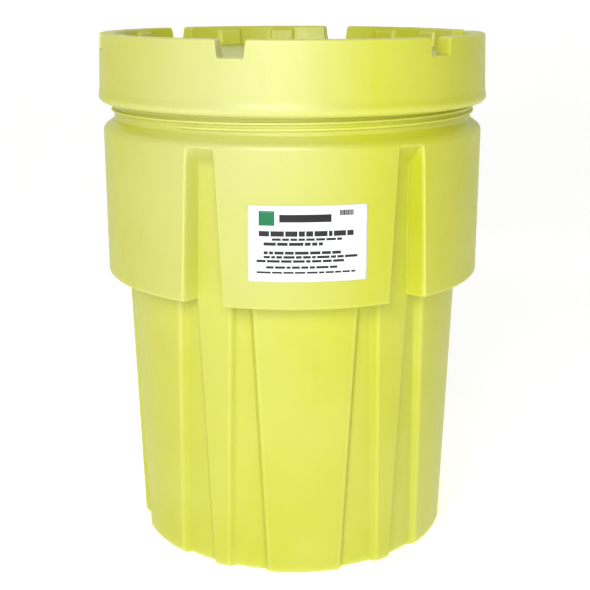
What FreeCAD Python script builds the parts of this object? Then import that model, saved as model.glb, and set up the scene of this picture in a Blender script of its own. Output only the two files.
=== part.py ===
"""Overpack salvage drum, 95 US gallon class, in millimetres, +Z up.

The drum stands on the XY plane with its axis on Z, and its label faces -Y. It is four pieces: a moulded
polyethylene body with a threaded neck, a double-walled screw lid with a notched crown, a sealing gasket
under the lid, and a label. Angles are in degrees, anticlockwise from above, measured from the label side.
"""
import FreeCAD, Part
import math
import os

from FreeCAD import Vector

# Overall size
TOTAL_HEIGHT = 1054.0
SECTORS = 6                        # the body and the lid repeat six times around the axis
SECTOR_ANGLE = 360.0 / SECTORS
AXIS = Vector(0, 0, 1)
CENTRE = Vector(0, 0, 0)

# Body: tapered core
WALL = 5.2
FOOT_RADIUS = 316.5
FOOT_RING_INNER = 288.0
FOOT_ROUND = 14.0
BASE_LIFT = 6.0                    # the middle of the base is raised inside the foot ring
FLOOR_TOP = 13.0
CORE_BOTTOM_RADIUS = FOOT_RADIUS + FOOT_ROUND
CORE_TAPER = 0.0298                # growth of the core's radius per millimetre of height
CORE_TOP = 860.0

# Body: raised band around the upper half
BAND_RADIUS = 390.0
BAND_BOTTOM = 567.0                # the underside is flat, with a small round at its edge
BAND_ROUND = 7.0
BAND_ROOT_RADIUS = 326.0
SHOULDER_ROUND = 16.0
SHOULDER_START = 860.0
SHOULDER_ANGLE = 50.0              # how far the round turns before the straight slope to the neck

# Body: neck and thread
NECK_RADIUS = 367.0
NECK_BORE = 361.0
NECK_ROOT_Z = 884.5
NECK_TOP = 983.0
THREAD_STARTS = 2
THREAD_LEAD = 22.0                 # rise of each start in one turn; the two starts are 11 mm apart
THREAD_HEIGHT = 6.0
THREAD_ROOT_WIDTH = 6.0
THREAD_CREST_WIDTH = 3.0
THREAD_BITE = 1.0                  # how far a thread's foot sinks into its wall
THREAD_FRONT_Z = 907.0             # height of the lowest ridge at the label side
NECK_THREAD_START = -225.0
NECK_THREAD_TURNS = 3.6
LID_THREAD_START = 164.0
LID_THREAD_TURNS = 1.5
THREAD_CLEARANCE = 1.5

# Body: flutes in the core, two per sector, and vertical grooves in the band, one per sector
FLUTE_OFFSET = 20.1
FLUTE_TOP_Z = 620.0
FLUTE_TOP_HALF = 18.0
FLUTE_BOTTOM_HALF = 42.5
FLUTE_TOP_DEPTH = 14.0
FLUTE_BOTTOM_DEPTH = 11.0
FLUTE_SIDE = 8.0                   # how far each flute side slopes in from the surface to the floor
GROOVE_BOTTOM_Z = 505.0
GROOVE_BOTTOM_HALF = 46.1          # half width at the band's surface
GROOVE_TOP_Z = 862.0
GROOVE_TOP_HALF = 28.5
GROOVE_SIDE_SLOPE = 0.25           # half width lost per millimetre of depth
CUTTER_REACH = 30.0                # how far cutters run past the surface they open

# Lid
CROWN_RADIUS = 392.0
CROWN_INNER_RADIUS = 363.0
CROWN_ROUND = 4.0
RECESS_FLOOR_Z = 1013.0
RECESS_DRAFT = 4.0
RECESS_ROUND = 6.0
LID_WAIST_RADIUS = 395.5           # the crown's side is straight down to here, then flares out
LID_WAIST_Z = 947.0
LID_FLANGE_RADIUS = 398.0
LID_FLANGE_Z = 931.0
LID_LIP_Z = 918.5
LIP_RADIUS = 385.0                 # the flange's lower round ends here, and the lip is flat to the bore
LID_SEAT_Z = 991.0
LID_WALL = 4.2
LID_BORE = NECK_RADIUS + THREAD_HEIGHT + THREAD_CLEARANCE
NOTCH_PHASE = -20.5               # angle of one notch from the label side
NOTCH_WIDTH = 57.0
NOTCH_BOTTOM_WIDTH = 49.0
NOTCH_DEPTH = 32.0
RIB_STEP = 20.0                    # two ribs on the crown's inner wall fill the space between two notches
RIB_RISE = 6.0
RIB_FACE_HALF = 23.0
RIB_FOOT_HALF = 28.0
RIB_TOP_DROP = 5.0                 # how far the ribs stop short of the crown's top

# Gasket and label
GASKET_INNER = 356.0
GASKET_OUTER = 371.0
GASKET_GAP = 0.3
LABEL_WIDTH = 220.0
LABEL_HEIGHT = 141.0
LABEL_CENTRE_Z = 692.5
LABEL_THICKNESS = 0.4


def core_radius(z):
    """Outer radius of the tapered core at height z."""
    return CORE_BOTTOM_RADIUS + CORE_TAPER * (z - FOOT_ROUND)


def at_angle(shape, angle):
    """The shape, made at the label side (-Y), turned to an angle about the drum's axis."""
    turned = shape.copy()
    turned.rotate(CENTRE, AXIS, angle)
    return turned


def revolve(steps):
    """Solid of revolution from (radius, z) points; a step of two points is an arc: (through, end)."""
    edges = []
    here = Vector(steps[0][0], 0, steps[0][1])
    first = here
    for step in steps[1:] + [steps[0]]:
        if isinstance(step[0], tuple):
            through = Vector(step[0][0], 0, step[0][1])
            end = Vector(step[1][0], 0, step[1][1])
            edges.append(Part.Arc(here, through, end).toShape())
        else:
            end = Vector(step[0], 0, step[1])
            if end.distanceToPoint(here) > 1e-6:
                edges.append(Part.LineSegment(here, end).toShape())
        here = end
    assert here.distanceToPoint(first) < 1e-6
    face = Part.Face(Part.Wire(edges))
    return face.revolve(CENTRE, AXIS, 360)


def arc_points(centre_r, centre_z, radius, start, end):
    """(through, end) of an arc from one angle to another, in degrees from +r towards +z."""
    def point(angle):
        a = math.radians(angle)
        return (centre_r + radius * math.cos(a), centre_z + radius * math.sin(a))
    return (point((start + end) / 2), point(end))


def block(lower, upper):
    """Ruled solid between two four-sided outlines, each a list of (x, outward distance, z), facing -Y."""
    wires = []
    for outline in (lower, upper):
        points = [Vector(x, -out, z) for x, out, z in outline]
        wires.append(Part.makePolygon(points + points[:1]))
    return Part.makeLoft(wires, True, True)


def cut_all(shape, cutters):
    """The shape with every cutter removed."""
    return shape.cut(Part.makeCompound(cutters))


def core_solid(offset):
    """The tapered core, with its surface moved in by offset, and its twelve flutes."""
    bottom = FLOOR_TOP if offset else 0.0
    low_z = FLOOR_TOP + FOOT_ROUND if offset else FOOT_ROUND
    low_r = core_radius(low_z) - offset
    foot = [(FOOT_RING_INNER - WALL, BASE_LIFT), (FOOT_RING_INNER, 0)] if not offset else []
    profile = [(0, FLOOR_TOP if offset else BASE_LIFT)] + foot
    profile += [(low_r - FOOT_ROUND, bottom), arc_points(low_r - FOOT_ROUND, low_z, FOOT_ROUND, -90, 0)]
    profile += [(core_radius(CORE_TOP) - offset, CORE_TOP), (0, CORE_TOP)]
    core = revolve(profile)
    flutes = []
    for sector in range(SECTORS):
        for side in (-1, 1):
            flutes.append(at_angle(flute_cutter(offset), sector * SECTOR_ANGLE + side * FLUTE_OFFSET))
    return cut_all(core, flutes)


def flute_outline(z, half, depth, offset):
    """Section of a flute cutter: wide where it leaves the surface, narrower at its floor."""
    surface = core_radius(z)
    slope = FLUTE_SIDE / depth
    wider = offset * math.hypot(1, slope) - offset * slope
    floor_half = half - FLUTE_SIDE + wider
    floor = surface - depth - offset
    top_half = floor_half + slope * (depth + offset + CUTTER_REACH)
    top = surface + CUTTER_REACH
    return [(-floor_half, floor, z), (floor_half, floor, z), (top_half, top, z), (-top_half, top, z)]


def flute_cutter(offset):
    """A flute that widens towards the foot; its upper end runs up behind the band."""
    low = flute_outline(-CUTTER_REACH, FLUTE_BOTTOM_HALF + 1.1, FLUTE_BOTTOM_DEPTH, offset)
    high = flute_outline(FLUTE_TOP_Z, FLUTE_TOP_HALF, FLUTE_TOP_DEPTH, offset)
    return block(low, high)


def groove_outline(z_at_surface, half, offset, slanted):
    """Section of a groove cutter through the band; the upper one slants so the groove's end slopes."""
    inner = BAND_ROOT_RADIUS - CUTTER_REACH
    outer = BAND_RADIUS + CUTTER_REACH
    wider = offset * (math.hypot(1, GROOVE_SIDE_SLOPE))
    corners = []
    for x_sign, out in ((-1, inner), (1, inner), (1, outer), (-1, outer)):
        width = max(half + wider + GROOVE_SIDE_SLOPE * (out - BAND_RADIUS), 4.0)
        z = z_at_surface + (out - BAND_RADIUS if slanted else 0.0)
        corners.append((x_sign * width, out, z))
    return corners


def groove_cutter(offset):
    """A vertical groove through the band, down to the core, open at the bottom, with a sloping top end."""
    top = GROOVE_TOP_Z + offset * math.sqrt(2)
    return block(groove_outline(GROOVE_BOTTOM_Z, GROOVE_BOTTOM_HALF, offset, False),
                 groove_outline(top, GROOVE_TOP_HALF, offset, True))


def band_solid(offset):
    """The raised band with its flat underside, rounded shoulder and six grooves."""
    low_z = BAND_BOTTOM + offset
    side_r = BAND_RADIUS - offset
    corner_r = max(BAND_ROUND - offset, 1.0)
    corner = arc_points(side_r - corner_r, low_z + corner_r, corner_r, -90, 0)
    shoulder = arc_points(BAND_RADIUS - SHOULDER_ROUND, SHOULDER_START, SHOULDER_ROUND - offset, 0, SHOULDER_ANGLE)
    neck_r = NECK_BORE if offset else NECK_RADIUS
    profile = [(BAND_ROOT_RADIUS, low_z), (side_r - corner_r, low_z), corner, (side_r, SHOULDER_START), shoulder]
    profile += [(neck_r, NECK_ROOT_Z - offset), (BAND_ROOT_RADIUS, NECK_ROOT_Z - offset)]
    cutters = [at_angle(groove_cutter(offset), (k + 0.5) * SECTOR_ANGLE) for k in range(SECTORS)]
    return cut_all(revolve(profile), cutters)


def thread(radius, outwards, front_z, start_angle, turns):
    """Right-hand ridges of a two-start thread; radius is the wall and front_z a ridge's height at -Y."""
    sign = 1 if outwards else -1
    foot = radius - sign * THREAD_BITE
    crest = radius + sign * THREAD_HEIGHT
    extra = THREAD_BITE * (THREAD_ROOT_WIDTH - THREAD_CREST_WIDTH) / THREAD_HEIGHT
    half_foot = (THREAD_ROOT_WIDTH + extra) / 2
    half_crest = THREAD_CREST_WIDTH / 2
    corners = [Vector(foot, 0, -half_foot), Vector(crest, 0, -half_crest)]
    corners += [Vector(crest, 0, half_crest), Vector(foot, 0, half_foot)]
    outline = Part.makePolygon(corners + corners[:1])
    helix = Part.Wire(Part.makeHelix(THREAD_LEAD, THREAD_LEAD * turns, radius).Edges)
    ridge = helix.makePipeShell([outline], True, True)
    ridge.rotate(CENTRE, AXIS, start_angle - 90.0)
    ridge.translate(Vector(0, 0, front_z + THREAD_LEAD * start_angle / 360.0))
    return [at_angle(ridge, k * 360.0 / THREAD_STARTS) for k in range(THREAD_STARTS)]


def drum_body():
    """One hollow moulding: fluted core, grooved band, shoulder and threaded neck, open at the top."""
    neck = revolve([(BAND_ROOT_RADIUS, CORE_TOP - 20), (NECK_RADIUS, CORE_TOP - 20),
                    (NECK_RADIUS, NECK_TOP - 2), (NECK_RADIUS - 2, NECK_TOP), (BAND_ROOT_RADIUS, NECK_TOP)])
    outside = core_solid(0.0).fuse([band_solid(0.0), neck])
    mouth = Part.makeCylinder(NECK_BORE, NECK_TOP - CORE_TOP + CUTTER_REACH, Vector(0, 0, CORE_TOP - 10))
    inside = core_solid(WALL).fuse([band_solid(WALL), mouth])
    shell = outside.cut(inside)
    return shell.fuse(thread(NECK_RADIUS, True, THREAD_FRONT_Z, NECK_THREAD_START, NECK_THREAD_TURNS))


def lid_profile(offset):
    """Outer surface of the lid; with an offset, the hollow between its two skins."""
    top = TOTAL_HEIGHT - offset
    crown = CROWN_RADIUS - offset
    crown_in = CROWN_INNER_RADIUS + offset
    floor = RECESS_FLOOR_Z - offset
    seat = LID_SEAT_Z + offset
    bore = LID_BORE + offset
    flange = LID_FLANGE_RADIUS - offset
    lip = LID_LIP_Z + offset
    turn = CROWN_ROUND - min(offset, CROWN_ROUND - 1)
    profile = [(0, floor), (crown_in - RECESS_DRAFT - RECESS_ROUND, floor)]
    profile += [arc_points(crown_in - RECESS_DRAFT - RECESS_ROUND, floor + RECESS_ROUND, RECESS_ROUND, -90, 0)]
    profile += [(crown_in, top - turn), arc_points(crown_in + turn, top - turn, turn, 180, 90)]
    profile += [(crown - turn, top), arc_points(crown - turn, top - turn, turn, 90, 0)]
    profile += [(LID_WAIST_RADIUS - offset, LID_WAIST_Z), (flange, LID_FLANGE_Z)]
    bulge = 1 - math.sqrt(0.5)
    middle = (flange - bulge * (flange - LIP_RADIUS), lip + bulge * (LID_FLANGE_Z - lip))
    profile += [(middle, (LIP_RADIUS, lip)), (bore, lip), (bore, seat), (0, seat)]
    return profile


def notch_cutter(offset):
    """A notch in the crown, wider at its mouth; with an offset, the notch and its walls."""
    low_z = TOTAL_HEIGHT - NOTCH_DEPTH - offset
    high_z = TOTAL_HEIGHT + CUTTER_REACH
    spread = (NOTCH_WIDTH - NOTCH_BOTTOM_WIDTH) / 2 / NOTCH_DEPTH * (NOTCH_DEPTH + CUTTER_REACH)
    near = CROWN_INNER_RADIUS - CUTTER_REACH
    far = CROWN_RADIUS + CUTTER_REACH
    low = NOTCH_BOTTOM_WIDTH / 2 + offset
    high = low + spread
    return block([(-low, near, low_z), (low, near, low_z), (low, far, low_z), (-low, far, low_z)],
                 [(-high, near, high_z), (high, near, high_z), (high, far, high_z), (-high, far, high_z)])


def crown_rib(offset):
    """Upright rib on the crown's inner wall, from the recess floor to near the top."""
    back = CROWN_INNER_RADIUS + 8.0
    face = CROWN_INNER_RADIUS - RECESS_DRAFT - RIB_RISE + offset
    low_z = RECESS_FLOOR_Z - 8.0
    high_z = TOTAL_HEIGHT - RIB_TOP_DROP - offset
    inner = RIB_FACE_HALF - offset
    outer = RIB_FOOT_HALF - offset
    corners = [(-inner, face), (inner, face), (outer, back), (-outer, back)]
    return block([(x, out, low_z) for x, out in corners], [(x, out, high_z) for x, out in corners])


def around_crown(shape, *shifts):
    """Copies of a shape in all six sectors, each at some angles past the sector's notch."""
    return [at_angle(shape, NOTCH_PHASE + k * SECTOR_ANGLE + shift) for k in range(SECTORS) for shift in shifts]


def lid():
    """Double-walled screw lid: notched crown, ribbed recess, threaded skirt; hollow between its skins."""
    ribs = around_crown(crown_rib(0.0), RIB_STEP, 2 * RIB_STEP)
    hollow_ribs = around_crown(crown_rib(LID_WALL), RIB_STEP, 2 * RIB_STEP)
    skin = cut_all(revolve(lid_profile(0.0)).fuse(ribs), around_crown(notch_cutter(0.0), 0.0))
    hollow = cut_all(revolve(lid_profile(LID_WALL)).fuse(hollow_ribs), around_crown(notch_cutter(LID_WALL), 0.0))
    front_z = THREAD_FRONT_Z + THREAD_LEAD / THREAD_STARTS / 2
    return skin.cut(hollow).fuse(thread(LID_BORE, False, front_z, LID_THREAD_START, LID_THREAD_TURNS))


def lid_gasket():
    """Flat ring of closed-cell foam rubber between the neck's rim and the lid's seat."""
    low = NECK_TOP + GASKET_GAP
    high = LID_SEAT_Z - GASKET_GAP
    return revolve([(GASKET_INNER, low), (GASKET_OUTER, low), (GASKET_OUTER, high), (GASKET_INNER, high)])


def product_label():
    """Thin label that follows the band's curve, centred on the label side."""
    span = math.degrees(LABEL_WIDTH / BAND_RADIUS)
    low = Vector(0, 0, LABEL_CENTRE_Z - LABEL_HEIGHT / 2)
    outer = Part.makeCylinder(BAND_RADIUS + LABEL_THICKNESS, LABEL_HEIGHT, low, AXIS, span)
    inner = Part.makeCylinder(BAND_RADIUS, LABEL_HEIGHT, low, AXIS, span)
    sheet = outer.cut(inner)
    sheet.rotate(CENTRE, AXIS, -90.0 - span / 2)
    return sheet


def main():
    os.makedirs("parts", exist_ok=True)
    nodes = {"drum_body": drum_body, "lid": lid, "lid_gasket": lid_gasket, "product_label": product_label}
    for name, make in nodes.items():
        shape = make()
        shape.exportStep(f"parts/{name}.step")
        litres = shape.Volume / 1e6
        print(f"{name}: {len(shape.Solids)} solid, {litres:.2f} l, valid {shape.isValid()}")


main()
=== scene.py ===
"""The looks of an overpack salvage drum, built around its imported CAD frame.

Lengths are in metres and angles in degrees, anticlockwise from above, measured from the label side (-Y).
The drum and the lid are closed surfaces made of rings: each ring is one loop of points around the axis,
and neighbouring rings are joined by quads. The columns of points follow the moulded edges.
"""
import math

import bpy
import numpy as np
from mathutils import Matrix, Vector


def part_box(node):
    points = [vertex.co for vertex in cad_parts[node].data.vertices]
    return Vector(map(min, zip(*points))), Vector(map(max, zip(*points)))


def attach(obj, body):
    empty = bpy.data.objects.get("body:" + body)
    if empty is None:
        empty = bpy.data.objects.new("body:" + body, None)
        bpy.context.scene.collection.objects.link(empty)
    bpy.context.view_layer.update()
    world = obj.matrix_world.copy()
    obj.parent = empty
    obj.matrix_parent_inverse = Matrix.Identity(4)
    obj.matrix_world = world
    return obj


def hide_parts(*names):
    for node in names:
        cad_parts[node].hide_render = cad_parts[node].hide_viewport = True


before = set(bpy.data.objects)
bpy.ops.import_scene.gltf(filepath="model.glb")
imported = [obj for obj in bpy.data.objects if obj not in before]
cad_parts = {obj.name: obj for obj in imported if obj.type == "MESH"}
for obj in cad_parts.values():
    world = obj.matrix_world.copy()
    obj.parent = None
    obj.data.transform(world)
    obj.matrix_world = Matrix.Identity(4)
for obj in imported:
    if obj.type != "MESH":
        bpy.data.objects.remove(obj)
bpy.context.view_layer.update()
_, BODY_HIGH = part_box("drum_body")
LID_LOW, LID_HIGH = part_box("lid")
GASKET_LOW, GASKET_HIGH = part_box("lid_gasket")
LABEL_LOW, LABEL_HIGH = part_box("product_label")

SECTORS = 6
SECTOR = 360 / SECTORS
HALF_SECTOR = SECTOR / 2

# Body: core, foot and wall
WALL = 0.0052
STEEP_SHARE = 0.35                 # least share of the wall left where the outside is steep
FOOT_ROUND = 0.014
CORE_FOOT_R = 0.3305               # at the top of the foot's round
CORE_TAPER = 0.0298                # gain in radius per metre of height
FOOT_RING_INNER = 0.288
BASE_LIFT = 0.006
FLOOR_TOP = 0.013

# Body: band, shoulder and neck
BAND_R = round(BODY_HIGH.x, 3)
BAND_LOW = 0.567                   # the band's underside is flat, and rises slightly outwards
UNDERSIDE_DRAFT = 0.002
BAND_ROUND = 0.007
SHOULDER_ROUND = 0.016
SHOULDER_Z = 0.860
SHOULDER_TURN = math.radians(50)   # the round turns this far, and a straight slope runs on to the neck
SHOULDER_END = SHOULDER_Z + SHOULDER_ROUND * math.sin(SHOULDER_TURN)
SHOULDER_END_R = BAND_R - SHOULDER_ROUND * (1 - math.cos(SHOULDER_TURN))
NECK_R = 0.367
NECK_BORE = 0.361
NECK_Z = 0.8845
NECK_TOP = BODY_HIGH.z
RIM_ROUND = 0.002

# Body: flutes and grooves; a fold angle runs from 0 at a panel's middle to 30 at a groove's middle
PANEL_EDGE = (12.5, 17.3)          # the panels' edge at the foot and at z = FLUTE_TOP
RIB_EDGE = (27.2, 23.6)
FLUTE_TOP = 0.620
FLUTE_SIDE = 1.35                  # width of a flute's sloping side
FLUTE_DEPTH = (0.011, 0.015)
GROOVE_LOW, GROOVE_TOP = 0.505, 0.862
GROOVE_HALF = (0.0461, 0.0285)     # half width along the band's surface, at GROOVE_LOW and GROOVE_TOP
GROOVE_SLOPE = 0.25                # how far a side leans in for each unit of depth
SOFT_EDGE = 0.010                  # how far the moulded corners between surfaces are filled

# Thread
LEAD = 0.022
STARTS = 2
RIDGE_HEIGHT = 0.006
RIDGE_FOOT = 0.003
RIDGE_CREST = 0.0015               # foot and crest are half widths
RUN_OUT = 12                       # each ridge fades in and out over this angle
NECK_THREAD = (0.907, -225.0, 3.6)     # height at the label side, first angle, turns
LID_THREAD = (0.9125, 164.0, 1.5)
THREAD_ROW = 0.0008                # spacing of the rings that carry the ridges

# Lid
LID_TOP = LID_HIGH.z
LIP_Z = LID_LOW.z
FLANGE_R = round(LID_HIGH.x, 3)
FLANGE_Z = 0.931
LIP_R = 0.385                      # the flange's lower round ends here, and the lip is flat to the bore
WAIST_R, WAIST_Z = 0.3955, 0.947
CROWN_R = 0.392
CROWN_INNER_R = 0.363
CROWN_ROUND = 0.004
RECESS_Z = 1.013
RECESS_R = 0.353
RECESS_ROUND = 0.006
SEAT_Z = 0.991
BORE_R = 0.3745
LIP_ROUND = 0.002
NOTCH_ANGLE = -20.5
NOTCH_DEPTH = 0.032
NOTCH_ROWS_Z = 1.006               # the outer side's rings dip under the notches above this height
RIB_RISE = 0.006
RIB_TOP_DROP = 0.004               # how far the ribs end below the crown's top

# Gasket: a foam ring of rounded rectangular section
GASKET_R = GASKET_HIGH.x - 0.0001
GASKET_WIDTH = 0.0148
GASKET_CORNER = 0.0018

# Label; its half width is measured along the band's surface
LABEL_THICKNESS = 0.0004
LABEL_HALF = BAND_R * math.asin(LABEL_HIGH.x / (BAND_R + LABEL_THICKNESS))
PRINT_LIFT = 0.00005               # how far the print stands off the sheet
PANEL_STEP = 0.004                 # short enough for the print to follow the sheet's curve
# Foot, height, left end and right end of each row, as shares of the label
TEXT_ROWS = ((0.600, 0.070, 0.09, 0.88), (0.545, 0.032, 0.20, 0.78), (0.480, 0.042, 0.13, 0.62),
             (0.365, 0.040, 0.13, 0.78), (0.312, 0.034, 0.13, 0.94), (0.258, 0.034, 0.07, 0.80),
             (0.178, 0.032, 0.15, 0.75), (0.112, 0.026, 0.07, 0.90))
TEXT_GAP, STRIP_GAP = 0.011, 0.0025

# Colours, linear
SHELL_YELLOW = (0.575, 0.600, 0.016)
# pale tone of the random mottling, and also the colour of the painted highlight on sharp edges
PALE_MOTTLE_AND_EDGE_HIGHLIGHT = (0.72, 0.73, 0.20)
# painted sheen: the pale colour that stands for the key light's broad highlight on the upper front
PAINTED_SHEEN_COLOUR = (0.60, 0.615, 0.24)
PAINTED_SHEEN_SIDE = (-0.42, -0.91, 0.0)    # the direction that the side with the painted sheen faces, towards the key light
SCUFF, SPECK = (0.45, 0.47, 0.08), (0.10, 0.10, 0.03)


def smax(a, b, k):
    """Larger of two values, with the corner between them filled over a width of k."""
    h = np.clip(k - np.abs(a - b), 0, None) / k
    return np.maximum(a, b) + h * h * k / 4


def smin(a, b, k):
    """Smaller of two values, with the corner between them rounded over a width of k."""
    return -smax(-a, -b, k)


def ramp(x):
    """0 below 0 and 1 above 1, with a smooth rise between."""
    x = np.clip(x, 0, 1)
    return x * x * (3 - 2 * x)


def slope(x, soft):
    """0 below 0 and 1 above 1, with a straight rise between, rounded over a width of soft at both ends."""
    return smin(smax(x, 0, soft), 1, soft)


def mix(pair, t):
    """From the first value of a pair at t = 0 to the second at t = 1."""
    return pair[0] + (pair[1] - pair[0]) * t


def polar(angle, radius, z):
    """Points from angles, radii and heights, which may be arrays or single numbers."""
    a = np.radians(angle)
    return np.stack([radius * np.sin(a), -radius * np.cos(a), z + 0 * a], axis=1)


def fold(angle):
    """Angle from the nearest panel's middle, which makes every half sector the same."""
    return np.abs((angle + HALF_SECTOR) % SECTOR - HALF_SECTOR)


# Body ---------------------------------------------------------------------------------------------

def core_radius(z):
    """The core without its flutes widens upwards."""
    return CORE_FOOT_R + CORE_TAPER * (z - FOOT_ROUND)


def flute_edges(z):
    """Fold angles of a flute's two upper edges at a height."""
    t = z / FLUTE_TOP
    return mix(PANEL_EDGE, t), mix(RIB_EDGE, t)


def groove_edges(z):
    """Fold angles of a groove's edge at the band's surface, and of its floor's edge."""
    half = mix(GROOVE_HALF, (z - GROOVE_LOW) / (GROOVE_TOP - GROOVE_LOW))
    floor_r = core_radius(z)
    floor_half = half - GROOVE_SLOPE * (BAND_R - floor_r)
    return HALF_SECTOR - np.degrees(half / BAND_R), HALF_SECTOR - np.degrees(floor_half / floor_r)


def fluted_core(f, z):
    """Radius of the core with its flutes, at fold angle f and height z."""
    panel, rib = flute_edges(z)
    inside = slope((f - panel) / FLUTE_SIDE, 0.45) * (1 - slope((f - rib + FLUTE_SIDE) / FLUTE_SIDE, 0.45))
    return core_radius(z) - inside * mix(FLUTE_DEPTH, z / FLUTE_TOP)


def shoulder_radius(z):
    """Radius of the band's side, its round shoulder and the slope to the neck."""
    rise = np.clip(z - SHOULDER_Z, 0, SHOULDER_END - SHOULDER_Z)
    arc = BAND_R - SHOULDER_ROUND + np.sqrt(SHOULDER_ROUND ** 2 - rise ** 2)
    t = np.clip((z - SHOULDER_END) / (NECK_Z - SHOULDER_END), 0, 1)
    return arc + (NECK_R - SHOULDER_END_R) * t


def band_surface(z):
    """Radius of the band without its grooves; below it, a radius inside the core."""
    under = mix((0.9 * CORE_FOOT_R, BAND_R - BAND_ROUND), np.clip((z - BAND_LOW) / UNDERSIDE_DRAFT + 1, 0, 1))
    down = np.clip(BAND_LOW + BAND_ROUND - z, 0, BAND_ROUND)
    corner = BAND_R - BAND_ROUND + np.sqrt(BAND_ROUND ** 2 - down ** 2)
    return np.where(z < BAND_LOW, under, np.minimum(corner, shoulder_radius(z)))


def outer_radius(angle, z):
    """The whole outside: the core and band together, with the grooves cut down to the core."""
    f = fold(angle)
    z = z + 0 * f
    whole = smax(fluted_core(f, z), band_surface(z), SOFT_EDGE)
    edge, floor_edge = groove_edges(z)
    floor = smax(core_radius(z), BAND_R - (GROOVE_TOP - z), SOFT_EDGE)
    inside = slope((f - edge) / (floor_edge - edge), 0.25)
    cut = whole + (np.minimum(floor, whole) - whole) * inside
    return np.where(z < BAND_LOW - UNDERSIDE_DRAFT, fluted_core(f, z), cut)


def inner_radius(angle, z):
    """The outside moved in by the wall, also where the outside is steep."""
    side = np.degrees(WALL / core_radius(z))
    near = outer_radius(angle, z) - WALL
    for turn, lift in ((side, 0), (-side, 0), (0, WALL), (0, -WALL)):
        near = np.minimum(near, outer_radius(angle + turn, z + lift) - WALL * STEEP_SHARE)
    return np.where(z > SHOULDER_Z, np.maximum(near, NECK_BORE), near)


def body_columns(z):
    """Angles of the columns at a height: close together where walls and edges are."""
    panel, rib = flute_edges(z)
    t = ramp((z - BAND_LOW) / 0.06 + 0.5)
    edge, floor_edge = groove_edges(max(z, GROOVE_LOW))
    wall = (rib - FLUTE_SIDE) * (1 - t) + edge * t
    wall_end = rib * (1 - t) + floor_edge * t
    stops = [0, panel - 0.5, panel + FLUTE_SIDE + 0.5, wall - 0.7, wall_end + 0.7, HALF_SECTOR]
    counts = [13, 10, 8, 14, 5]
    half = [np.linspace(a, b, n, endpoint=False) for a, b, n in zip(stops, stops[1:], counts)]
    half = np.concatenate(half + [[HALF_SECTOR]])
    sector = np.concatenate([-half[:0:-1], half[:-1]])
    return np.concatenate([sector + k * SECTOR for k in range(SECTORS)])


def thread_height(angle, z, spec):
    """Height of a two-start thread's ridges above its wall."""
    front_z, first, turns = spec
    low = front_z + LEAD * first / 360
    height = 0 * angle
    for start in range(STARTS):
        around = (angle - first - start * 360 / STARTS) % 360
        turn = np.clip(np.round((z - low) / LEAD - around / 360), 0, None)
        turn = np.where(around + 360 * turn > 360 * turns, turn - 1, turn)
        distance = np.abs(z - low - LEAD * (around / 360 + turn))
        along = around + 360 * turn
        ends = ramp(along / RUN_OUT) * ramp((360 * turns - along) / RUN_OUT)
        ridge = ramp((RIDGE_FOOT - distance) / (RIDGE_FOOT - RIDGE_CREST))
        height = np.maximum(height, np.where(turn >= 0, ridge * ends * RIDGE_HEIGHT, 0))
    return height


def steps(*stops):
    """Heights from (start, spacing) pairs and a last height."""
    rows = []
    for (low, gap), nxt in zip(stops, stops[1:]):
        high = nxt[0] if isinstance(nxt, tuple) else nxt
        rows.append(np.linspace(low, high, max(1, round(abs(high - low) / gap)), endpoint=False))
    return np.concatenate(rows + [[stops[-1]]])


def foot_rings():
    """The underside, the foot ring and the round up to the core's side."""
    rings = [np.array([[0, 0, BASE_LIFT]])]
    angle = body_columns(FOOT_ROUND)
    for radius in (0.06, 0.13, 0.20, 0.26, FOOT_RING_INNER - 0.008, FOOT_RING_INNER - 0.0055):
        rings.append(polar(angle, radius, BASE_LIFT))
    rings.append(polar(angle, FOOT_RING_INNER - 0.001, 0.0012))
    rings.append(polar(angle, FOOT_RING_INNER + 0.001, 0))
    contour = outer_radius(angle, FOOT_ROUND)
    for turn in np.linspace(0, 90, 8):
        t = math.radians(turn)
        rings.append(polar(angle, contour - FOOT_ROUND * (1 - math.sin(t)), FOOT_ROUND * (1 - math.cos(t))))
    return rings


def body_rings():
    """Up the outside to the neck's rim, over it and down the inside."""
    rings = foot_rings()
    for z in steps((0.026, 0.02), (0.520, 0.005), (0.565, 0.0004), (BAND_LOW, 0.0007), (0.574, 0.01), (0.600, 0.02),
                   (0.800, 0.003), (0.856, 0.001), 0.8835):
        angle = body_columns(z)
        rings.append(polar(angle, outer_radius(angle, z), z))
    angle = body_columns(NECK_Z)
    for z in steps((0.884, THREAD_ROW), NECK_TOP - RIM_ROUND):
        ridge = thread_height(angle, z, NECK_THREAD)
        rings.append(polar(angle, np.maximum(outer_radius(angle, z), NECK_R + ridge), z))
    middle = (NECK_R + NECK_BORE) / 2
    half = (NECK_R - NECK_BORE) / 2
    for turn in np.linspace(20, 160, 8):
        t = math.radians(turn)
        side = half - RIM_ROUND * (1 - abs(math.cos(t)))
        rings.append(polar(angle, middle + math.copysign(side, math.cos(t)),
                           NECK_TOP - RIM_ROUND * (1 - math.sin(t))))
    rings.append(polar(angle, NECK_BORE, NECK_TOP - RIM_ROUND))
    for z in steps((0.960, 0.02), (0.890, 0.002), (0.850, 0.01), (0.600, 0.004), (0.550, 0.03), 0.032):
        angle = body_columns(z)
        rings.append(polar(angle, inner_radius(angle, z), z))
    return rings + floor_rings()


def floor_rings():
    """Inside of the round at the foot, and the floor."""
    angle = body_columns(FLOOR_TOP + FOOT_ROUND)
    contour = inner_radius(angle, FLOOR_TOP + FOOT_ROUND)
    rings = []
    for turn in np.linspace(90, 0, 7):
        t = math.radians(turn)
        rings.append(polar(angle, contour - FOOT_ROUND * (1 - math.sin(t)),
                           FLOOR_TOP + FOOT_ROUND * (1 - math.cos(t))))
    for radius in (0.28, 0.21, 0.14, 0.07):
        rings.append(polar(angle, radius, FLOOR_TOP))
    return rings + [np.array([[0, 0, FLOOR_TOP]])]


# Lid ----------------------------------------------------------------------------------------------

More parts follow.
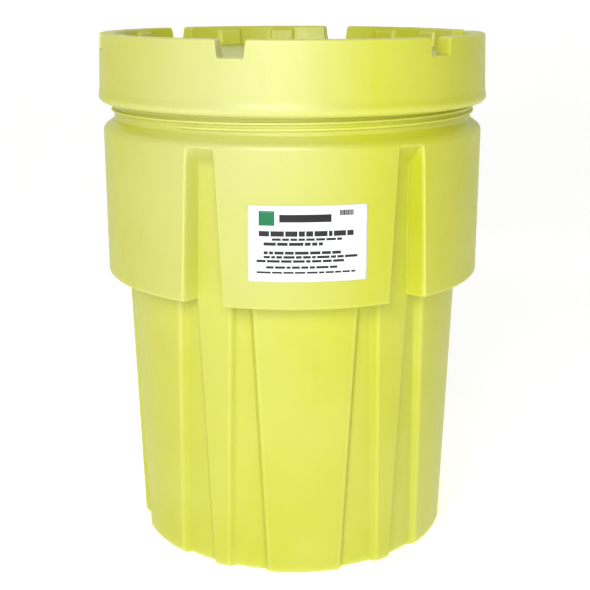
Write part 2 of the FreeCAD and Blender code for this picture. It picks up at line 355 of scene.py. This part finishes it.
NOTCH_SHAPE = ((0, 1), (0.010, 1), (0.018, 1), (0.0222, 1), (0.0236, 0.985), (0.0246, 0.93), (0.0252, 0.86),
               (0.0268, 0.45), (0.0278, 0.14), (0.0284, 0.07), (0.0296, 0.018), (0.0315, 0), (0.034, 0))
RIB_SHAPE = ((0, 1), (0.012, 1), (0.020, 1), (0.0225, 0.96), (0.024, 0.82), (0.0255, 0.5), (0.027, 0.18),
             (0.0285, 0.04), (0.030, 0))
PLAIN_ANGLES = (7.0, 9.0, 11.5, 13.8, 26.3, 28.2, 30.0, 31.8, 33.7, 46.2, 48.5, 51.0, 53.0)


def both_sides(shape):
    """The (offset, amount) steps of a symmetric shape, from its left edge to its right one."""
    return [(-x, amount) for x, amount in reversed(shape[1:])] + list(shape)


def lid_columns():
    """Each column as (angle of its feature, offset along the rim, depth in a notch, height of a rib)."""
    sector = [(0.0, x, amount, 0.0) for x, amount in both_sides(NOTCH_SHAPE)]
    for centre in (20.0, 40.0):
        sector += [(centre, x, 0.0, amount) for x, amount in both_sides(RIB_SHAPE)]
    sector += [(angle, 0.0, 0.0, 0.0) for angle in PLAIN_ANGLES]
    sector.sort(key=lambda column: column[0] + math.degrees(column[1] / CROWN_INNER_R))
    columns = [(NOTCH_ANGLE + k * SECTOR + a, x, notch, rib) for k in range(SECTORS) for a, x, notch, rib in sector]
    return np.array(columns).T


def lid_angles(columns, radius):
    """Angles of the lid's columns at a radius: a notch's sides are parallel, not radial."""
    return columns[0] + np.degrees(np.arcsin(columns[1] / np.maximum(radius, 0.33)))


def lid_side_radius(z):
    """The crown's and skirt's outer side, down to the flange."""
    upper = CROWN_R + (WAIST_R - CROWN_R) * (LID_TOP - CROWN_ROUND - z) / (LID_TOP - CROWN_ROUND - WAIST_Z)
    flare = WAIST_R + (FLANGE_R - WAIST_R) * ramp((WAIST_Z - z) / (WAIST_Z - FLANGE_Z))
    return np.where(z > WAIST_Z, upper, flare)


def crown_rings(columns):
    """From the recess wall over the notched crown and down its outer side."""
    notch, rib = columns[2], columns[3]
    top = LID_TOP - NOTCH_DEPTH * notch
    foot = RECESS_Z + RECESS_ROUND
    high = LID_TOP - CROWN_ROUND
    rings = []
    for z in steps((foot + 0.001, 0.003), high):
        level = foot + (z - foot) * (top - CROWN_ROUND - foot) / (high - foot)
        wall = RECESS_R + RECESS_ROUND + (CROWN_INNER_R - RECESS_R - RECESS_ROUND) * (level - foot) / (high - foot)
        radius = wall - RIB_RISE * rib * ramp((LID_TOP - RIB_TOP_DROP - z) / 0.005)
        rings.append(polar(lid_angles(columns, radius), radius, level))
    for turn in np.linspace(15, 90, 6):
        t = math.radians(turn)
        radius = CROWN_INNER_R + CROWN_ROUND * (1 - math.cos(t)) - 0.004 * notch
        rings.append(polar(lid_angles(columns, radius), radius, top - CROWN_ROUND * (1 - math.sin(t))))
    for radius in np.linspace(CROWN_INNER_R + CROWN_ROUND + 0.004, CROWN_R - CROWN_ROUND - 0.004, 4):
        rings.append(polar(lid_angles(columns, radius), radius, top))
    for turn in np.linspace(90, 15, 6):
        t = math.radians(turn)
        radius = CROWN_R - CROWN_ROUND * (1 - math.cos(t)) + 0.001 * notch
        rings.append(polar(lid_angles(columns, radius), radius, top - CROWN_ROUND * (1 - math.sin(t))))
    for z in steps((high, 0.004), (NOTCH_ROWS_Z, 0.012), (WAIST_Z, 0.002), FLANGE_Z):
        level = z + 0 * top
        if z > NOTCH_ROWS_Z:
            level = NOTCH_ROWS_Z + (z - NOTCH_ROWS_Z) * (top - CROWN_ROUND - NOTCH_ROWS_Z) / (high - NOTCH_ROWS_Z)
        radius = lid_side_radius(level)
        rings.append(polar(lid_angles(columns, radius), radius, level))
    return rings


def recess_rings(columns):
    """The recessed top with its faint moulded rings, and the round up to the crown."""
    rings = [np.array([[0, 0, RECESS_Z]])]
    raised = (0.090, 0.180, 0.270, 0.335)
    radii = [0.03, 0.06]
    for middle in raised:
        radii += [middle - 0.012, middle - 0.006, middle - 0.003, middle, middle + 0.003, middle + 0.006]
        radii += [middle + 0.03] if middle < 0.3 else []
    for radius in radii:
        nearest = min(abs(radius - middle) for middle in raised)
        lift = 0.0012 * float(ramp(1 - nearest / 0.006))
        rings.append(polar(lid_angles(columns, radius), radius, RECESS_Z + lift))
    for turn in np.linspace(0, 90, 7):
        t = math.radians(turn)
        radius = RECESS_R + RECESS_ROUND * math.sin(t) - RIB_RISE * columns[3]
        rings.append(polar(lid_angles(columns, radius), radius, RECESS_Z + RECESS_ROUND * (1 - math.cos(t))))
    return rings


def lip_rings(columns):
    """The rounded lower edge of the skirt."""
    rings = []
    for turn in np.linspace(8, 90, 12):
        t = math.radians(turn)
        radius = LIP_R + (FLANGE_R - LIP_R) * math.cos(t)
        rings.append(polar(lid_angles(columns, radius), radius, FLANGE_Z - (FLANGE_Z - LIP_Z) * math.sin(t)))
    for turn in np.linspace(0, 90, 6):
        t = math.radians(turn)
        radius = BORE_R + LIP_ROUND * (1 - math.sin(t))
        rings.append(polar(lid_angles(columns, radius), radius, LIP_Z + LIP_ROUND * (1 - math.cos(t))))
    return rings


def lid_rings():
    """Across the recess, over the crown, down the side, under the lip and up the bore to the seat.

    The list is then turned round, so that the faces look outwards.
    """
    columns = lid_columns()
    rings = recess_rings(columns) + crown_rings(columns) + lip_rings(columns)
    angle = lid_angles(columns, BORE_R)
    for z in steps((LIP_Z + 0.0027, THREAD_ROW), (0.960, 0.006), SEAT_Z - 0.002):
        rings.append(polar(angle, BORE_R - thread_height(angle, z, LID_THREAD), z))
    for radius, drop in ((BORE_R - 0.0006, 0.0006), (BORE_R - 0.002, 0), (0.34, 0), (0.25, 0), (0.15, 0), (0.06, 0)):
        rings.append(polar(lid_angles(columns, radius), radius, SEAT_Z - drop))
    rings.append(np.array([[0, 0, SEAT_Z]]))
    return rings[::-1]


# Meshes -------------------------------------------------------------------------------------------

def mesh_object(name, points, faces):
    """A smooth-shaded object in the scene."""
    mesh = bpy.data.meshes.new(name)
    mesh.from_pydata([tuple(p) for p in points], [], faces)
    mesh.validate()
    mesh.update()
    mesh.polygons.foreach_set("use_smooth", [True] * len(mesh.polygons))
    piece = bpy.data.objects.new(name, mesh)
    bpy.context.scene.collection.objects.link(piece)
    return piece


def skin(name, rings, closed=False):
    """A surface through rings of equal length; a ring of one point closes an end as a fan."""
    starts = np.cumsum([0] + [len(ring) for ring in rings])
    pairs = list(zip(range(len(rings)), range(1, len(rings))))
    pairs += [(len(rings) - 1, 0)] if closed else []
    faces = []
    for low, high in pairs:
        a, b = starts[low], starts[high]
        n, m = len(rings[low]), len(rings[high])
        count = max(n, m)
        for i in range(count):
            j = (i + 1) % count
            if n == 1:
                faces.append((a, b + j, b + i))
            elif m == 1:
                faces.append((a + i, a + j, b))
            else:
                faces.append((a + i, a + j, b + j, b + i))
    return mesh_object(name, np.concatenate(rings), faces)


def gasket_rings():
    """One ring per point of the section, from its outer upper corner inwards and round."""
    outer, inner = GASKET_R, GASKET_R - GASKET_WIDTH
    low, high = GASKET_LOW.z, GASKET_HIGH.z
    corner = GASKET_CORNER
    angle = np.arange(0, 360, 2.0)
    rings = []
    centres = ((outer - corner, high - corner, 0), (inner + corner, high - corner, 90),
               (inner + corner, low + corner, 180), (outer - corner, low + corner, 270))
    for radius, z, first in centres:
        for turn in (0, 30, 60, 90):
            t = math.radians(first + turn)
            rings.append(polar(angle, radius + corner * math.cos(t), z + corner * math.sin(t)))
    return rings


def curved_panel(name, left, right, low, high, radius, thickness):
    """A thin closed sheet that follows the band; left and right are arc lengths from the label's middle."""
    xs = np.linspace(left, right, 2 + int((right - left) / PANEL_STEP))
    zs = np.linspace(low, high, 9)
    grid_x, grid_z = np.meshgrid(xs, zs)
    points = []
    for r in (radius + thickness, radius):
        points.append(polar(np.degrees(grid_x.ravel() / radius), r, grid_z.ravel()))
    cols, rows = len(xs), len(zs)
    faces = []
    for j in range(rows - 1):
        for i in range(cols - 1):
            a = j * cols + i
            front = (a, a + 1, a + cols + 1, a + cols)
            faces += [front, tuple(v + cols * rows for v in reversed(front))]
    edge = list(range(cols)) + [j * cols + cols - 1 for j in range(1, rows)]
    edge += [(rows - 1) * cols + i for i in range(cols - 2, -1, -1)] + [j * cols for j in range(rows - 2, 0, -1)]
    for a, b in zip(edge, edge[1:] + edge[:1]):
        faces.append((b, a, a + cols * rows, b + cols * rows))
    return mesh_object(name, np.concatenate(points), faces)


def join(pieces, name):
    """One object from several."""
    bpy.ops.object.select_all(action="DESELECT")
    for piece in pieces:
        piece.select_set(True)
    bpy.context.view_layer.objects.active = pieces[0]
    bpy.ops.object.join()
    pieces[0].name = name
    return pieces[0]


# Materials ----------------------------------------------------------------------------------------

class Nodes:
    """Short calls for building one material's node tree."""

    def __init__(self, name):
        self.material = bpy.data.materials.new(name)
        self.material.use_nodes = True
        self.tree = self.material.node_tree
        self.shader = self.tree.nodes["Principled BSDF"]
        self.place = self.tree.nodes.new("ShaderNodeTexCoord").outputs["Object"]

    def add(self, kind, inputs=None, **settings):
        node = self.tree.nodes.new(kind)
        for key, value in settings.items():
            setattr(node, key, value)
        for key, value in (inputs or {}).items():
            self.put(node.inputs[key], value)
        return node

    def put(self, socket, value):
        """Links another node's output to a socket, or sets a plain value on it."""
        if isinstance(value, bpy.types.NodeSocket):
            self.tree.links.new(value, socket)
        else:
            socket.default_value = value

    def noise(self, scale, detail=3.0, roughness=0.5, stretch=None):
        place = self.place
        if stretch:
            place = self.add("ShaderNodeMapping", {"Vector": self.place, "Scale": stretch}).outputs["Vector"]
        return self.add("ShaderNodeTexNoise", {"Vector": place, "Scale": scale, "Detail": detail,
                                               "Roughness": roughness}).outputs["Fac"]

    def curve(self, value, low, high, to_low=0.0, to_high=1.0):
        """Stretches a range of values to another one, and holds at its ends."""
        return self.add("ShaderNodeMapRange", {"Value": value, "From Min": low, "From Max": high,
                                               "To Min": to_low, "To Max": to_high}).outputs["Result"]

    def combine(self, operation, a, b):
        """Arithmetic on two values."""
        node = self.add("ShaderNodeMath", operation=operation)
        self.put(node.inputs[0], a)
        self.put(node.inputs[1], b)
        return node.outputs[0]

    def blend(self, factor, a, b):
        """Colour a where the factor is 0, and b where it is 1."""
        node = self.add("ShaderNodeMix", data_type="RGBA")
        self.put(node.inputs[0], factor)
        self.put(node.inputs[6], a)
        self.put(node.inputs[7], b)
        return node.outputs[2]

    def specks(self, scale, size, keep, seed):
        """Sparse dots: 1 in a dot, 0 elsewhere."""
        place = self.add("ShaderNodeMapping", {"Vector": self.place, "Location": (seed, seed, seed)}).outputs["Vector"]
        cells = self.add("ShaderNodeTexVoronoi", {"Vector": place, "Scale": scale})
        chosen = self.add("ShaderNodeSeparateColor", {"Color": cells.outputs["Color"]}).outputs[0]
        dot = self.curve(cells.outputs["Distance"], size, size * 0.5)
        return self.combine("MULTIPLY", dot, self.combine("GREATER_THAN", chosen, 1 - keep))

    def bump(self, height, distance, strength, below=None):
        inputs = {"Height": height, "Distance": distance, "Strength": strength}
        if below is not None:
            inputs["Normal"] = below
        return self.add("ShaderNodeBump", inputs).outputs["Normal"]

    def finish(self, **sockets):
        """Fills the shader's sockets, named with underscores for spaces."""
        for key, value in sockets.items():
            self.put(self.shader.inputs[key.replace("_", " ")], value)
        return self.material


def rgba(colour):
    """A colour socket's value, opaque."""
    return (*colour, 1.0)


def polyethylene(name):
    """Satin rotomoulded plastic: slightly translucent and mottled, with a painted sheen that lightens the upper front
    and a painted highlight that makes sharp edges paler.
    """
    n = Nodes(name)
    cloudy = n.curve(n.noise(5.0, 4.0), 0.35, 0.65)
    colour = n.blend(n.combine("MULTIPLY", cloudy, 0.22), rgba(SHELL_YELLOW), rgba(PALE_MOTTLE_AND_EDGE_HIGHLIGHT))
    # painted sheen: the upper front, which faces the key light, is lightened as that light's highlight would lighten
    # it
    height = n.add("ShaderNodeSeparateXYZ", {"Vector": n.place}).outputs["Z"]
    facing = n.add("ShaderNodeVectorMath", {0: n.place, 1: PAINTED_SHEEN_SIDE}, operation="DOT_PRODUCT").outputs["Value"]
    painted_sheen = n.combine("MULTIPLY", n.curve(facing, 0.29, 0.40), n.curve(height, 0.10, 0.90, 0.10, 0.85))
    colour = n.blend(painted_sheen, colour, rgba(PAINTED_SHEEN_COLOUR))
    # painted highlight: sharp convex edges, found from pointiness, are made paler as if they caught the light
    edge = n.curve(n.add("ShaderNodeNewGeometry").outputs["Pointiness"], 0.506, 0.530)
    colour = n.blend(n.combine("MULTIPLY", edge, 0.45), colour, rgba(PALE_MOTTLE_AND_EDGE_HIGHLIGHT))
    scuffs = n.curve(n.noise(28.0, 5.0, 0.65, (1, 1, 0.25)), 0.63, 0.72)
    colour = n.blend(n.combine("MULTIPLY", scuffs, 0.10), colour, rgba(SCUFF))
    specks = n.specks(16.0, 0.045, 0.07, 3.1)
    colour = n.blend(n.combine("MULTIPLY", specks, 0.75), colour, rgba(SPECK))
    rough = n.curve(n.noise(60.0, 4.0), 0.3, 0.7, 0.38, 0.48)
    rough = n.combine("ADD", rough, n.combine("MULTIPLY", scuffs, 0.10))
    swell = n.bump(n.noise(7.0, 2.0), 0.004, 0.30)
    peel = n.bump(n.noise(420.0, 2.0), 0.00025, 0.30, swell)
    return n.finish(Base_Color=colour, Roughness=rough, Normal=peel, Specular_IOR_Level=0.75, Subsurface_Weight=0.25,
                    Subsurface_Radius=(0.020, 0.020, 0.004), Subsurface_Scale=1.0)


def foam_rubber(name):
    """Black closed-cell foam with fine open pores."""
    n = Nodes(name)
    pores = n.curve(n.add("ShaderNodeTexVoronoi", {"Vector": n.place, "Scale": 900.0}).outputs["Distance"], 0.1, 0.5)
    colour = n.blend(pores, rgba((0.008, 0.008, 0.009)), rgba((0.035, 0.035, 0.038)))
    rough = n.curve(n.noise(90.0), 0.3, 0.7, 0.80, 0.92)
    return n.finish(Base_Color=colour, Roughness=rough, Normal=n.bump(pores, 0.0004, 0.6))


def vinyl(name, colour, shade):
    """Printed or plain label film, slightly uneven in tone."""
    n = Nodes(name)
    tone = n.curve(n.noise(14.0, 3.0), 0.35, 0.65)
    rough = n.curve(n.noise(120.0), 0.3, 0.7, 0.30, 0.40)
    ripple = n.bump(n.noise(35.0, 2.0), 0.0006, 0.25)
    return n.finish(Base_Color=n.blend(tone, rgba(colour), rgba(shade)), Roughness=rough, Normal=ripple)


def floor_paper(name):
    """White paper with a weak glow of its own, which stands for the light a bright studio throws back."""
    n = Nodes(name)
    tone = n.curve(n.noise(2.0, 2.0), 0.3, 0.7)
    colour = n.blend(tone, rgba((0.86, 0.86, 0.85)), rgba((0.88, 0.88, 0.87)))
    return n.finish(Base_Color=colour, Roughness=0.9, Emission_Color=rgba((1, 1, 1)), Emission_Strength=0.50)


# Label print --------------------------------------------------------------------------------------

def print_patch(name, x0, x1, z0, z1):
    """A printed area, from shares of the label's width and height."""
    width, height = 2 * LABEL_HALF, LABEL_HIGH.z - LABEL_LOW.z
    return curved_panel(name, -LABEL_HALF + x0 * width, -LABEL_HALF + x1 * width, LABEL_LOW.z + z0 * height,
                        LABEL_LOW.z + z1 * height, BAND_R + LABEL_THICKNESS, PRINT_LIFT)


def text_bars():
    """Rows of short bars that stand where lines of text would be."""
    rng = np.random.default_rng(7)
    bars = []
    for row, (z, height, left, right) in enumerate(TEXT_ROWS):
        x = left
        while x < right - 0.02:
            width = min(float(rng.uniform(0.03, 0.12)), right - x)
            bars.append(print_patch(f"bar_{row}_{len(bars)}", x, x + width, z, z + height))
            x += width + TEXT_GAP
    return bars


def code_block():
    """A small patch of upright strips of uneven width, in no readable pattern."""
    rng = np.random.default_rng(19)
    strips = []
    x = 0.760
    while x < 0.880:
        width = float(rng.choice((0.006, 0.009, 0.012)))
        strips.append(print_patch(f"strip_{len(strips)}", x, x + width, 0.865, 0.935))
        x += width + STRIP_GAP
    return strips


def make_label():
    """White sheet with a heading bar, bars for text, a strip code and a green block."""
    sheet = curved_panel("label_sheet", -LABEL_HALF, LABEL_HALF, LABEL_LOW.z, LABEL_HIGH.z, BAND_R,
                         LABEL_THICKNESS)
    sheet.data.materials.append(vinyl("label_white", (0.90, 0.92, 0.94), (0.86, 0.88, 0.90)))
    heading = print_patch("heading", 0.26, 0.69, 0.785, 0.885)
    ink = join([heading] + text_bars() + code_block(), "label_ink")
    ink.data.materials.append(vinyl("label_black", (0.006, 0.006, 0.006), (0.015, 0.015, 0.016)))
    block = print_patch("label_block", 0.09, 0.22, 0.74, 0.93)
    block.data.materials.append(vinyl("label_green", (0.0, 0.16, 0.05), (0.005, 0.20, 0.07)))
    for piece in (sheet, ink, block):
        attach(piece, "drum")
    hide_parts("product_label")


# Scene --------------------------------------------------------------------------------------------

def make_drum():
    body = skin("drum_shell", body_rings())
    body.data.materials.append(polyethylene("shell_yellow"))
    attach(body, "drum")
    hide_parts("drum_body")


def make_lid():
    lid = skin("screw_lid", lid_rings())
    lid.data.materials.append(polyethylene("lid_yellow"))
    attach(lid, "lid")
    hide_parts("lid")


def make_gasket():
    gasket = skin("foam_gasket", gasket_rings(), closed=True)
    gasket.data.materials.append(foam_rubber("gasket_black"))
    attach(gasket, "gasket")
    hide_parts("lid_gasket")


def make_floor():
    """A pale floor that curves up into a backdrop."""
    xs = np.linspace(-8, 8, 9)
    bend = [(y, 0.0) for y in (-6.0, -3.0, 0.0, 2.5)]
    bend += [(2.5 + 1.5 * math.sin(t), 1.5 - 1.5 * math.cos(t)) for t in np.radians([15, 30, 45, 60, 75, 90])]
    bend += [(4.0, 8.0)]
    points = [(x, y, z) for y, z in bend for x in xs]
    faces = []
    for j in range(len(bend) - 1):
        for i in range(len(xs) - 1):
            a = j * len(xs) + i
            faces.append((a, a + 1, a + len(xs) + 1, a + len(xs)))
    floor = mesh_object("studio_floor", points, faces)
    floor.data.materials.append(floor_paper("studio_paper"))


def area_light(name, place, aim, size, power):
    """A rectangular light that points at a place."""
    light = bpy.data.lights.new(name, "AREA")
    light.shape = "RECTANGLE"
    light.size, light.size_y = size
    light.energy = power
    lamp = bpy.data.objects.new(name, light)
    lamp.location = place
    direction = np.array(aim) - np.array(place)
    lamp.rotation_euler = (math.atan2(math.hypot(direction[0], direction[1]), -direction[2]), 0,
                           math.atan2(-direction[0], direction[1]))
    bpy.context.scene.collection.objects.link(lamp)


def make_light():
    """A large soft key from the front left, a weak low fill from the right, and a little light from above."""
    middle = (0, 0, 0.6)
    area_light("key", (-0.7, -2.9, 2.0), (0, 0, 0.80), (1.9, 1.6), 77)
    area_light("fill", (1.9, -2.9, 0.9), middle, (1.8, 1.2), 7)
    area_light("top", (0.2, 0.4, 3.2), middle, (2.4, 2.4), 2)
    world = bpy.data.worlds.new("studio")
    world.use_nodes = True
    world.node_tree.nodes["Background"].inputs["Color"].default_value = (1, 1, 1, 1)
    world.node_tree.nodes["Background"].inputs["Strength"].default_value = 0.24
    bpy.context.scene.world = world
    bpy.context.scene.view_settings.view_transform = "Standard"    # keeps the plastic's bright, saturated yellow


def make_camera():
    """Stands in front of the drum, a little to its left, just above the lid and looking slightly down."""
    distance, height = 2.428, 1.139
    side, pitch = 4.3, 14.87
    data = bpy.data.cameras.new("camera")
    data.lens = 70.4
    data.sensor_width = 36
    data.shift_x = 0.0046
    camera = bpy.data.objects.new("camera", data)
    turn = math.radians(side)
    camera.location = (-distance * math.sin(turn), -distance * math.cos(turn), height)
    camera.rotation_euler = (math.radians(90 - pitch), 0, -turn)
    bpy.context.scene.collection.objects.link(camera)
    bpy.context.scene.camera = camera


make_drum()
make_lid()
make_gasket()
make_label()
make_floor()
make_light()
make_camera()
